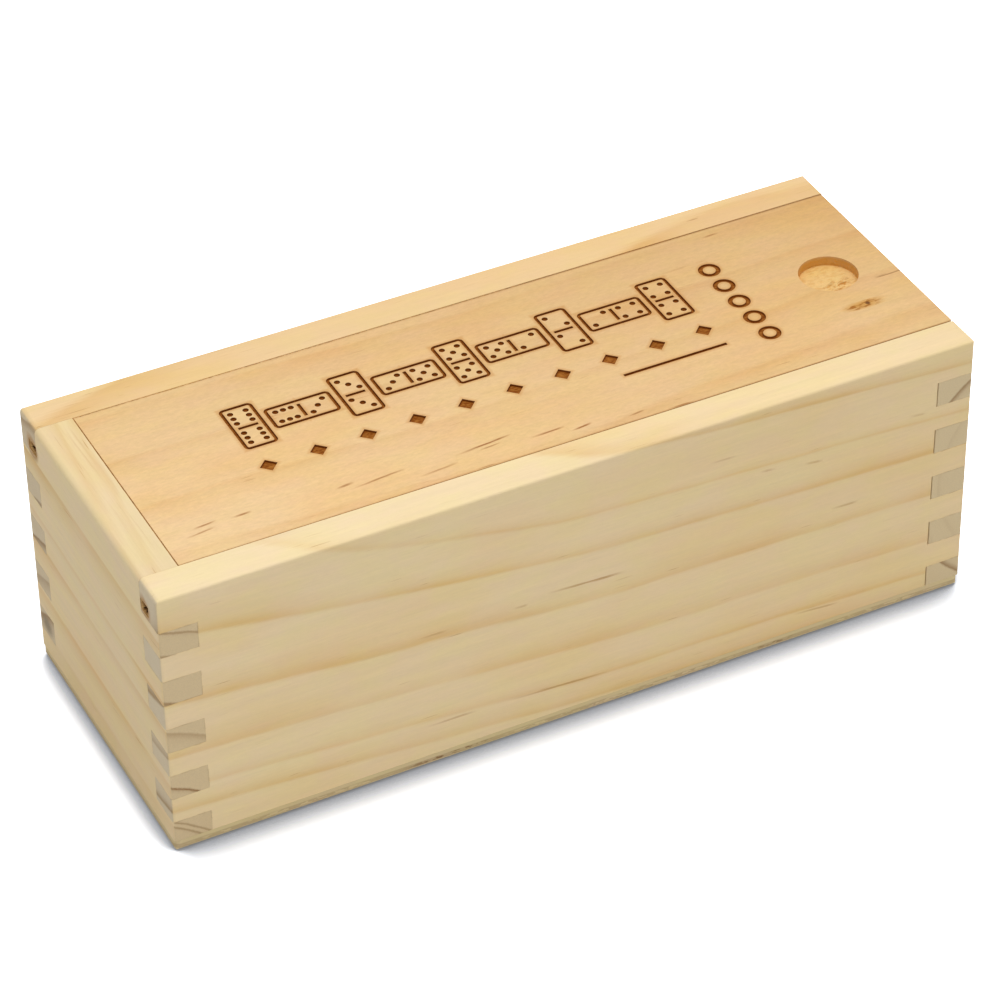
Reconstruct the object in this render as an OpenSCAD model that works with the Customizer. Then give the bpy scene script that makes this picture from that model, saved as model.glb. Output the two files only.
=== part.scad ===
// Wooden box for a set of dominoes: four finger-jointed boards, a thin bottom panel glued under
// them, and a lid that slides out of grooves at one end.
// The length runs along X and the lid slides out towards +X. The origin is the middle of the base.

/* [Box] */
// Outside length, along the way the lid slides
box_l = 160; // [150:0.5:220]
// Outside width
box_w = 61.4; // [54:0.2:90]
// Outside height, with the bottom panel
box_h = 56.4; // [40:0.2:80]
// Thickness of the four wall boards
wall_t = 7.2; // [6.4:0.1:9]
// Thickness of the bottom panel
bottom_t = 2.5; // [2:0.1:5]
// Rounding of the upright corners and the outer top edges
edge_r = 0.5; // [0.3:0.1:1.5]
// Rounding of the top edge across the closed end, which is sanded more
end_edge_r = 1.1; // [0.3:0.1:1.5]
// Rounding of the bottom panel's edges and corners
foot_r = 1.3; // [0.3:0.1:1.8]

/* [Finger joints] */
// Height of one finger, which is the cutter's width
finger_h = 5.3; // [4:0.1:8]
// Wood left under the groove in the side walls' top finger
groove_web = 0.8; // [0.6:0.1:2]
// Shortest finger worth cutting at the foot of a wall
finger_min = 1.5; // [1:0.1:2.5]
// Open line at the roots of the fingers, where the sockets at the open end are cut a little long
root_gap = 0.2; // [0:0.05:0.4]

/* [Grooves and lid] */
// Wood above the groove, which holds the lid down
lip_h = 4; // [3:0.1:6]
// Height of the groove
groove_h = 2.2; // [1.8:0.1:3]
// Depth of the groove into the wall boards
groove_depth = 3.4; // [2:0.1:4.5]
// Up-and-down play on each side of the lid's tongue in its groove
lid_play = 0.1; // [0.05:0.01:0.2]
// Gap round the lid's edges: beside the rails, and past the ends of its tongues
lid_gap = 0.25; // [0.2:0.05:0.6]
// How far the lid's top lies below the rails
lid_drop = 0.1; // [0:0.05:0.4]
// Rounding of the lid's two corners at the open end
lid_corner_r = 1; // [0.4:0.1:1.5]

/* [Finger recess] */
// Diameter of the round recess for a fingertip
recess_d = 11.2; // [9:0.2:18]
// Depth of the recess
recess_depth = 1.9; // [1:0.1:3]
// From the lid's open end to the middle of the recess
recess_inset = 12.5; // [10:0.5:14]

/* [Engraving] */
// Depth of the burnt engraving
engrave_depth = 0.4; // [0.2:0.05:0.8]
// Width of one engraved domino, which is half as wide as it is long
tile_w = 6.4; // [5.6:0.1:7]
// Space between two engraved dominoes
tile_gap = 0.8; // [0.5:0.1:1.6]
// Middle of the line of dominoes, above the lid's centre line
tile_row_y = 7; // [5:0.5:8]
// Rounding of an engraved domino's corners
tile_r = 1; // [0.9:0.1:1.4]
// Width of the line round a domino and across its middle
line_w = 0.65; // [0.4:0.05:0.8]
// Diameter of one pip
pip_d = 1.15; // [0.7:0.05:1.2]
// From one pip to the next
pip_pitch = 1.5; // [1.3:0.05:1.5]
// Width and height of one lozenge
lozenge = 3.4; // [2:0.1:4]
// Number of lozenges in the row
lozenge_count = 10; // [4:1:14]
// Middle of the lozenge row, below the lid's centre line
lozenge_row_y = 5; // [4:0.5:7]
// Length of the short rule under the row's end
rule_l = 21; // [8:0.5:30]
// Width of the rule's line
rule_w = 0.7; // [0.3:0.1:1]
// Middle of the rule, below the lid's centre line
rule_y = 10.5; // [9:0.5:12]
// Outer diameter of one ring in the column
ring_d = 4.2; // [3:0.1:4.6]
// Width of a ring's line
ring_line = 0.9; // [0.5:0.1:1.2]
// From one ring to the next
ring_pitch = 5.6; // [4.8:0.1:6.2]
// From the end of the line of dominoes to the ring column's middle
ring_offset = 8.5; // [6:0.5:10]
// From the ring column's middle to the middle of the recess
deco_to_recess = 18.8; // [11:0.1:22]

/* [Hidden] */
$fn = 48;
end_edge_fn = 44;                  // no facet's corner at 45 degrees, so that no sliver is left where three roundings meet

pine = "#dfc796";
pine_end = "#cfb384";
plywood = "#c9b07c";
pine_lid = "#e3bd84";

ease = 0.01;                       // cutters reach this far past a face
inner_l = box_l - 2 * wall_t;
inner_w = box_w - 2 * wall_t;
groove_top = box_h - lip_h;
groove_floor = groove_top - groove_h;
first_joint = groove_floor - groove_web; // the side walls' top finger reaches down to here

// Heights of the end walls' fingers, as [foot, head], from the top one down
steps = ceil((first_joint - bottom_t) / (2 * finger_h));
fingers = [
    for (i = [0 : steps - 1])
        let (head = first_joint - 2 * finger_h * i,
             foot = head - finger_h < bottom_t + finger_min ? bottom_t : head - finger_h)
        if (head - bottom_t >= finger_min) [foot, head]
];

// The lid
tongue_l = groove_depth - lid_gap;
tongue_floor = groove_floor + lid_play;
tongue_top = groove_top - lid_play;
lid_top = box_h - lid_drop;
lid_w = inner_w - 2 * lid_gap;
lid_left = -inner_l / 2 + lid_gap;       // the edge of the lid's face at the closed end
lid_root_r = 0.2;                        // rounding of its two corners there
recess_x = box_l / 2 - recess_inset;

// The engraving: a line of play, with a double across it at each number and a domino between two
line_of_play = [6, 3, 5, 2, 4];
double_pitch = 3 * tile_w + 2 * tile_gap;
pip_cells = [
    [],
    [[0, 0]],
    [[-1, 1], [1, -1]],
    [[-1, 1], [0, 0], [1, -1]],
    [[-1, 1], [1, 1], [-1, -1], [1, -1]],
    [[-1, 1], [1, 1], [0, 0], [-1, -1], [1, -1]],
    [[-1, 1], [1, 1], [-1, 0], [1, 0], [-1, -1], [1, -1]]
];
ring_count = 5;
ring_x = recess_x - deco_to_recess;
row_right = ring_x - ring_offset;
row_left = row_right - (len(line_of_play) - 1) * double_pitch - tile_w;
lozenge_pitch = (row_right - row_left - lozenge) / (lozenge_count - 1);

// A rectangle about the origin, with round corners of radius r above and foot below, on true arcs
module rounded_rect(l, w, r, foot) {
    square([l - 2 * max(r, foot), w], center = true);
    translate([-l / 2, -w / 2 + foot]) square([l, w - r - foot]);
    for (side = [-1, 1]) {
        translate([side * (l / 2 - r), w / 2 - r]) circle(r = r);
        translate([side * (l / 2 - foot), -w / 2 + foot]) circle(r = foot);
    }
    // the flat stretch beside the smaller of the two roundings
    translate([-l / 2 + min(r, foot), r < foot ? 0 : -w / 2]) square([l - 2 * min(r, foot), w / 2]);
}

// The whole box's outer form, with every outer edge rounded by r, and those across the closed end by end_r
module outer_form(r, end_r) {
    intersection() {
        linear_extrude(box_h) rounded_rect(box_l, box_w, r, r);
        translate([0, box_w / 2, box_h / 2]) rotate([90, 0, 0])
            linear_extrude(box_w) rotate(90) rounded_rect(box_h, box_l, end_r, r, $fn = end_edge_fn);
        translate([-box_l / 2, 0, box_h / 2]) rotate([90, 0, 90])
            linear_extrude(box_l) rounded_rect(box_w, box_h, r, r);
    }
}

// The places of one end wall's fingers in a corner, end = -1 at the closed end and 1 at the open end.
// Longer cells, by extra, cut the sockets that the fingers go into.
module finger_cells(end, side, extra) {
    for (f = fingers)
        translate([end * (box_l - wall_t - extra + ease) / 2, side * (box_w - wall_t) / 2, (f[0] + f[1]) / 2])
            cube([wall_t + extra + ease, wall_t + 2 * ease, f[1] - f[0]], center = true);
}

// The slot that one of the lid's tongues runs in, cut right through a side wall from end to end
module side_groove(side) {
    translate([0, side * (inner_w + groove_depth - ease) / 2, groove_floor + groove_h / 2])
        cube([box_l + 2 * ease, groove_depth + ease, groove_h], center = true);
}

// The slot for the tongue at the closed end
module end_groove() {
    translate([-inner_l / 2 - (groove_depth - ease) / 2, 0, groove_floor + groove_h / 2])
        cube([groove_depth + ease, inner_w + 2 * ease, groove_h], center = true);
}

module side_wall(side) {
    color(pine) difference() {
        intersection() {
            outer_form(edge_r, end_edge_r);
            translate([0, side * (box_w - wall_t) / 2, (bottom_t + box_h) / 2])
                cube([box_l, wall_t, box_h - bottom_t], center = true);
        }
        finger_cells(-1, side, 0);
        finger_cells(1, side, root_gap);
        side_groove(side);
    }
}

// An end wall: the board between the side walls, up to head, and its fingers at both corners
module end_wall(end, head) {
    color(pine_end) intersection() {
        outer_form(edge_r, end_edge_r);
        union() {
            translate([end * (box_l - wall_t) / 2, 0, (bottom_t + head) / 2])
                cube([wall_t, inner_w, head - bottom_t], center = true);
            for (side = [-1, 1]) finger_cells(end, side, 0);
        }
    }
}

module front_wall() side_wall(-1);

module rear_wall() side_wall(1);

module closed_end_wall() {
    color(pine_end) difference() {
        end_wall(-1, box_h);
        end_groove();
    }
}

module open_end_wall() end_wall(1, groove_floor);

module bottom_panel() {
    color(plywood) intersection() {
        outer_form(foot_r, foot_r);
        translate([0, 0, bottom_t / 2]) cube([box_l, box_w, bottom_t], center = true);
    }
}

// One domino standing upright, in outline, with a pips in its upper half and b in its lower half
module domino(a, b) {
    difference() {
        rounded_rect(tile_w, 2 * tile_w, tile_r, tile_r);
        rounded_rect(tile_w - 2 * line_w, 2 * tile_w - 2 * line_w, tile_r - line_w, tile_r - line_w);
    }
    square([tile_w - 4 * line_w, line_w], center = true);
    for (half = [[1, a], [-1, b]], cell = pip_cells[half[1]])
        translate([cell[0] * pip_pitch, half[0] * (tile_w - line_w / 2) / 2 + cell[1] * pip_pitch])
            circle(d = pip_d);
}

module engraving() {
    for (i = [0 : len(line_of_play) - 1])
        translate([row_left + tile_w / 2 + i * double_pitch, tile_row_y])
            domino(line_of_play[i], line_of_play[i]);
    for (i = [0 : len(line_of_play) - 2])
        translate([row_left + tile_w / 2 + (i + 0.5) * double_pitch, tile_row_y])
            rotate(90) domino(line_of_play[i], line_of_play[i + 1]);
    for (i = [0 : lozenge_count - 1])
        translate([row_left + lozenge / 2 + i * lozenge_pitch, -lozenge_row_y])
            rotate(45) square(lozenge / sqrt(2), center = true);
    translate([row_right - rule_l / 2, -rule_y]) square([rule_l, rule_w], center = true);
    for (i = [0 : ring_count - 1])
        translate([ring_x, (i - (ring_count - 1) / 2) * ring_pitch]) difference() {
            circle(d = ring_d);
            circle(d = ring_d - 2 * ring_line);
        }
}

module sliding_lid() {
    color(pine_lid) difference() {
        intersection() {
            translate([0, 0, -lid_drop]) outer_form(edge_r, end_edge_r);
            union() {
                // the face between the rails
                translate([(box_l / 2 + lid_left) / 2, 0, tongue_floor])
                    linear_extrude(lid_top - tongue_floor)
                        rotate(-90) rounded_rect(lid_w, box_l / 2 - lid_left, lid_corner_r, lid_root_r);
                // the tongues on both sides and at the closed end
                translate([-inner_l / 2 - tongue_l, -inner_w / 2 - tongue_l, tongue_floor])
                    cube([(box_l + inner_l) / 2 + tongue_l, inner_w + 2 * tongue_l, tongue_top - tongue_floor]);
            }
        }
        translate([recess_x, 0, lid_top - recess_depth]) cylinder(d = recess_d, h = recess_depth + ease);
        translate([0, 0, lid_top - engrave_depth]) linear_extrude(engrave_depth + ease) engraving();
    }
}

front_wall();
rear_wall();
closed_end_wall();
open_end_wall();
bottom_panel();
sliding_lid();
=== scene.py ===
import math
from functools import partial
import bpy
import numpy as np
from mathutils import Matrix, Vector


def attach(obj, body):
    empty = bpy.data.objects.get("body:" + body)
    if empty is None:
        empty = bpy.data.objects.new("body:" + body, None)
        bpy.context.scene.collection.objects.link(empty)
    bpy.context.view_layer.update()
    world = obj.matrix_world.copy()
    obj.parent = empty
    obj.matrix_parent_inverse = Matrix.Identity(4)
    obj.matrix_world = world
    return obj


# A sliding-lid pine box for a set of dominoes. Everything is in metres in the CAD frame: the length
# runs along X, the lid slides out towards +X, and the box stands on z = 0. Settings are in millimetres.

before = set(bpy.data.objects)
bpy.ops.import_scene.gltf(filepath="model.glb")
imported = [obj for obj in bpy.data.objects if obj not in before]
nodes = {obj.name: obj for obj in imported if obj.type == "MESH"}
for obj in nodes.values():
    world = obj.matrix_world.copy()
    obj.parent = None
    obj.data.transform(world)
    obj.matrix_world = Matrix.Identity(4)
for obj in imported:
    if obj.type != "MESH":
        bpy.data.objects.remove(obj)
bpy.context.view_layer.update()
mm = 0.001
print("frame: loaded", ", ".join(sorted(nodes)))


# the box's own measures, as the CAD has them, in mm
box = {
    "innerHalfLength": 72.8, "innerHalfWidth": 23.5,
    "fingerPitch": 10.6, "topFingerMiddle": 46.75, "fingerHalf": 2.65,
    "grooveMiddle": 51.3, "grooveAcross": 25.2, "grooveHalfHeight": 1.1, "grooveHalfDepth": 1.7,
    "lidTop": 56.3, "recessX": 67.5, "recessRadius": 5.6, "recessFloor": 54.4,
}


cameraSettings = {
    "place": (-0.2633, -0.5302, 0.4869), "lookAt": (-0.0006, 0.0, 0.0282),
    "lensMm": 147.8, "sensorMm": 36.0, "rollDegrees": -0.864,
}


def makeCamera(settings):
    place = Vector(settings["place"])
    forward = (Vector(settings["lookAt"]) - place).normalized()
    levelRight = forward.cross(Vector((0, 0, 1))).normalized()
    levelUp = levelRight.cross(forward)
    roll = math.radians(settings["rollDegrees"])
    right = levelRight * math.cos(roll) + levelUp * math.sin(roll)
    up = right.cross(forward)
    data = bpy.data.cameras.new("camera")
    data.lens, data.sensor_width = settings["lensMm"], settings["sensorMm"]
    data.clip_start, data.clip_end = 0.01, 20.0
    camera = bpy.data.objects.new("camera", data)
    camera.matrix_world = Matrix((
        (right.x, up.x, -forward.x, place.x),
        (right.y, up.y, -forward.y, place.y),
        (right.z, up.z, -forward.z, place.z),
        (0, 0, 0, 1),
    ))
    bpy.context.scene.collection.objects.link(camera)
    bpy.context.scene.camera = camera


makeCamera(cameraSettings)
bpy.context.scene.view_settings.view_transform = "Standard"
print("camera: set")


def linearColour(hexText):  # sRGB hex to linear RGBA
    channels = [int(hexText[i:i + 2], 16) / 255 for i in (1, 3, 5)]
    return tuple(c / 12.92 if c <= 0.04045 else ((c + 0.055) / 1.055) ** 2.4 for c in channels) + (1.0,)


def addNode(tree, kind, sockets=None, operation=None, **settings):
    # adds one shader node. Sockets are a tuple in their order, or go by name or number, each with a value,
    # a colour in hex or another node's output; "stops" fills a colour ramp and "points" a curve
    node = tree.nodes.new("ShaderNode" + kind)
    if operation:
        node.operation = operation
    for name, value in settings.items():
        if name == "stops":
            ramp = node.color_ramp
            while len(ramp.elements) < len(value):
                ramp.elements.new(1.0)
            for element, (position, colour) in zip(ramp.elements, value):
                element.position = position
                element.color = colour if isinstance(colour, tuple) else (colour, colour, colour, 1.0)
        elif name == "points":
            node.mapping.use_clip = False
            curve = node.mapping.curves[0]
            curve.points[0].location, curve.points[1].location = value[0], value[-1]
            for x, y in value[1:-1]:
                curve.points.new(x, y)
            if settings.get("label") == "straight":
                for point in curve.points:
                    point.handle_type = "VECTOR"
            node.mapping.update()
        else:
            setattr(node, name, value)
    if isinstance(sockets, tuple):
        sockets = dict(enumerate(sockets))
    for key, value in (sockets or {}).items():
        if isinstance(value, bpy.types.NodeSocket):
            tree.links.new(value, node.inputs[key])
        else:
            node.inputs[key].default_value = linearColour(value) if isinstance(value, str) else value
    return node.outputs


def startNodes(owner):  # empties the nodes of a material or world and gives the function that adds to them
    owner.use_nodes = True
    owner.node_tree.nodes.clear()
    return partial(addNode, owner.node_tree)


def newMaterial(name):
    material = bpy.data.materials.new(name)
    return material, startNodes(material)


def meshPiece(name, points, faces, smooth=True):
    mesh = bpy.data.meshes.new(name)
    mesh.from_pydata([tuple(p) for p in points], [], [tuple(f) for f in faces])
    mesh.polygons.foreach_set("use_smooth", np.full(len(mesh.polygons), smooth))
    mesh.update()
    piece = bpy.data.objects.new(name, mesh)
    bpy.context.scene.collection.objects.link(piece)
    return piece


def ringStops(rings, span):
    # each growth ring darkens slowly outwards and ends at a sharp edge; radii in mm become ramp positions
    low, high = span
    stops = [(0.0, 0.0)]
    for start, edge, dark in rings:
        slow, late = start + 0.55 * (edge - start), max(edge - 0.25, start + 0.7 * (edge - start))
        for radius, value in ((start, 0.0), (slow, 0.32 * dark), (late, dark), (edge + 0.22, 0.0)):
            stops.append(((radius - low) / (high - low), value))
    return [(p, v) for p, v in stops if 0.0 <= p <= 1.0]


# the patterns in every board: repeats per mm along the grain, across it and up, how fine and how rough the
# noise is, and its start, as a share of the board's seed plus a shift, so that no two lie on each other
woodPatterns = {
    "wobble": ((1 / 38, 1 / 10, 1 / 10), 2.0, 0.55, (1, 0.7, 0), (0, 0, 3.1)),
    "fibre": ((1 / 7, 2.6, 2.6), 3.0, 0.55, (1, 0.7, 0), (0, 0, 3.1)),
    "streak": ((1 / 55, 1 / 1.7, 1 / 1.7), 2.0, 0.55, (1, 0.7, 0), (0, 0, 3.1)),
    "blotch": ((1 / 30, 1 / 13, 1 / 13), 2.0, 0.55, (1, 0.7, 0), (0, 0, 3.1)),
    "speck": ((1 / 1.3, 4.2, 4.2), 2.0, 0.55, (1, 0.7, 0), (0, 0, 3.1)),
    "sanding": ((0.9, 2.1, 2.1), 2.0, 0.7, (1, 0, 0), (0, 1.9, 5.3)),
    "slowTone": ((0.13, 0.26, 0.26), 2.0, 0.5, (1, 0, 0), (0, 4.4, 0.8)),
    "canals": ((1 / 5.5, 3.4, 3.4), 0.0, 0.5, (1.3, 0, 0), (0, 0.4, 7.7)),
}
# what each pattern does: the noise it reads, the noise's two ends, and what they become (else 0 and 1)
patternEffects = {
    "patchy": ("blotch", 0.35, 0.62, 0.55, 1.15), "warm": ("blotch", 0.42, 0.68),
    "pinker": ("slowTone", 0.36, 0.64), "streakShade": ("streak", 0.3, 0.7, 0.975, 1.015),
    "fibreShade": ("fibre", 0.25, 0.75, 0.975, 1.015), "speckShade": ("speck", 0.3, 0.7, 0.955, 1.025),
    "roughness": ("streak", 0.3, 0.7, 0.52, 0.64), "threads": ("canals", 0.77, 0.86),
}
# tints that multiply the colour, and how strongly each thing shows, in every board
woodCommon = {
    "warmth": (1.0, 0.965, 0.90, 1.0), "yellower": (1.0, 1.012, 0.965, 1.0),
    "pinker": (1.005, 0.988, 1.03, 1.0), "mottle": 0.012, "threadsByTone": (0.0, 0.5, 0.1, 0.6),
    "dashSwells": (0.42, 0.75),
    "endFacing": (0.55, 0.85), "endCrisp": 1.6, "fibreRelief": 0.7, "bandRelief": 0.35, "threadRelief": -0.6,
}


def growWood(put, board):
    # the wood of one board, out of its rings about the pith, long fibres, blotches and resin streaks;
    # gives its sockets for colour, roughness and height
    coordinates = put("TexCoord")
    place = put("VectorMath", {0: coordinates["Object"], "Scale": 1 / mm}, "SCALE")[0]
    x, y, up = put("SeparateXYZ", (place,))
    facing = put("SeparateXYZ", (coordinates["Normal"],))
    along, across, alongFacing = (x, y, facing[0]) if board["grain"] == "x" else (y, x, facing[1])
    local = put("CombineXYZ", (along, across, up))[0]

    noise = {}
    for name, (perMm, detail, rough, shares, shifts) in woodPatterns.items():
        start = tuple(board["seed"] * share + shift for share, shift in zip(shares, shifts))
        shifted = put("VectorMath", (local, perMm, start), "MULTIPLY_ADD")[0]
        noise[name] = put("TexNoise", {
            "Vector": shifted, "Scale": 1.0, "Detail": detail, "Roughness": rough})[0]
    effect = {}
    for name, (source, *ends) in patternEffects.items():
        effect[name] = put("MapRange", (noise[source], *ends))[0]

    # rings: distance from the pith, with the drift of the grain along the board
    drift = put("FloatCurve", {"Value": along}, points=board["driftMm"])[0]
    share = put("FloatCurve", {"Value": up}, points=board["driftShare"])[0]
    drifted = put("Math", (drift, share, up), "MULTIPLY_ADD")[0]
    section = put("CombineXYZ", {1: across, 2: drifted})[0]
    radius = put("VectorMath", (section, (0.0, *board["pith"])), "DISTANCE")[1]
    wobbled = put("Math", (noise["wobble"], board["wobbleMm"], radius), "MULTIPLY_ADD")[0]
    fine = put("Math", (noise["fibre"], board["raggedMm"], wobbled), "MULTIPLY_ADD")[0]
    offset = (board["wobbleMm"] + board["raggedMm"]) / 2
    bands = []
    for rings in (board["rings"], board.get("endRings", board["rings"])):
        rings = [(start + offset, edge + offset, dark) for start, edge, dark in rings]
        span = (min(ring[0] for ring in rings) - 3, max(ring[1] for ring in rings) + 3)
        ringPlace = put("MapRange", (fine, span[0], span[1]))[0]
        bands.append(put("ValToRGB", (ringPlace,), stops=ringStops(rings, span))[0])
    tone = put("Math", (bands[0], effect["patchy"]), "MULTIPLY", use_clamp=True)[0]

    # side grain
    colour = put("Mix", {0: tone, 6: board["pale"], 7: board["dark"]}, data_type="RGBA")[2]
    tints = [(effect["warm"], board.get("warmth", woodCommon["warmth"]), True)]
    # painted shade: the colour darkens and warms along the board towards the open end, and on the lid also
    # towards the rear, standing in for the light's falloff over the top
    if "paintedFalloffAlong" in board:
        aged = put("FloatCurve", {"Value": along}, points=board["paintedFalloffAlong"])[0]
        aged = put("Math", (across, board.get("agedAcross", 0.0), aged), "MULTIPLY_ADD")[0]
        tints.append((aged, board["aged"], False))
    # a slow drift between a yellower and a pinker tone, and the speckle that sanding leaves
    tones = {6: woodCommon["yellower"], 7: woodCommon["pinker"]}
    tints.append((1.0, put("Mix", {0: effect["pinker"], **tones}, data_type="RGBA")[2], True))
    for amount, tint, clamped in tints:
        colour = put("Mix", {0: amount, 6: colour, 7: tint},
                     data_type="RGBA", blend_type="MULTIPLY", clamp_factor=clamped)[2]
    mottle = board.get("mottle", woodCommon["mottle"])
    sanded = put("MapRange", (noise["sanding"], 0.3, 0.7, 1 - mottle, 1 + mottle))[0]
    colour = put("VectorMath", {0: colour, "Scale": sanded}, "SCALE")[0]
    # resin canals: short dark threads, more of them in the dark part of a ring
    threadWeight = put("MapRange", (tone, *woodCommon["threadsByTone"]))[0]
    threads = put("Math", (effect["threads"], threadWeight), "MULTIPLY")[0]
    for group in board.get("streaks", []):
        # each dash runs straight from one point to the other; between two of them the line isn't shown
        path, strengths = [], [(-90.0, 0.0)]
        for x1, v1, x2, v2, strength in group["dashes"]:
            path += [(x1, v1), (x2, v2)]
            swells = [(x1 + part * (x2 - x1), strength) for part in woodCommon["dashSwells"]]
            strengths += [(x1, 0.0), *swells, (x2, 0.0)]
        middle = put("FloatCurve", {"Value": along}, points=path, label="straight")[0]
        present = put("FloatCurve", {"Value": along}, points=strengths + [(90.0, 0.0)], label="straight")[0]
        away = put("Math", (up if group["on"] == "up" else across, middle), "SUBTRACT")[0]
        away = put("Math", (noise["fibre"], 0.5, away), "MULTIPLY_ADD")[0]
        away = put("Math", (away, 0.25), "SUBTRACT")[0]
        away = put("Math", (away,), "ABSOLUTE")[0]
        wide = group["widthMm"]
        body = put("MapRange", (away, wide, wide * 0.1), interpolation_type="SMOOTHSTEP")[0]
        body = put("Math", (body, present), "MULTIPLY")[0]
        threads = put("Math", (threads, body), "MAXIMUM")[0]
    colour = put("Mix", {0: threads, 6: colour, 7: board["thread"]}, data_type="RGBA")[2]
    shade = put("Math", (effect["streakShade"], effect["fibreShade"]), "MULTIPLY")[0]
    colour = put("VectorMath", {0: colour, "Scale": shade}, "SCALE")[0]

    # end grain: greyer and darker, rings crisper, with the open ends of the fibres as specks
    alongFacing = put("Math", (alongFacing,), "ABSOLUTE")[0]
    endGrain = put("MapRange", (alongFacing, *woodCommon["endFacing"]))[0]
    endTone = put("Math", (bands[1], woodCommon["endCrisp"]), "POWER")[0]
    endColour = put("Mix", {0: endTone, 6: board["endPale"], 7: board["endDark"]}, data_type="RGBA")[2]
    endColour = put("VectorMath", {0: endColour, "Scale": effect["speckShade"]}, "SCALE")[0]
    colour = put("Mix", {0: endGrain, 6: colour, 7: endColour}, data_type="RGBA")[2]

    height = put("Math", (noise["fibre"], woodCommon["fibreRelief"]), "MULTIPLY")[0]
    for pattern, relief in ((tone, "bandRelief"), (threads, "threadRelief")):
        height = put("Math", (pattern, woodCommon[relief], height), "MULTIPLY_ADD")[0]
    return {
        "colour": colour, "roughness": effect["roughness"], "height": height, "x": x, "y": y, "up": up,
        "along": along, "across": across, "place": place, "endGrain": endGrain, **noise}


def stainWood(put, wood, stains):  # lays each colour over the wood by its own mask, in their order
    for mask, colour in stains:
        wood["colour"] = put("Mix", {0: mask, 6: wood["colour"], 7: colour}, data_type="RGBA")[2]


# the ranges are in mm from a line or a mouth, followed by how strongly the stain shows there
jointSoilSlotShade = {
    "topFingerUp": 51.0, "nowhere": 9.0, "inZone": -0.15, "through": -0.1,
    "glue": "#8F6B41", "glueRange": (-0.08, -0.28, 0.0, 0.26), "patches": (0.42, 0.6),
    "torn": "#B5853F", "tornRange": (0.6, -0.5, 0.0, 0.8), "tornTo": -76.0,
    # the slot colour is painted shade inside the groove
    "slot": "#8A5A2A", "slotShadeRange": (2.6, 2.1, 0.0, 0.85), "slotFrom": -79.7, "slotTo": -74.0,
    "stain": "#7D6B50", "stainRange": (2.6, 0.8, 0.0, 0.75),
}


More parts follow.
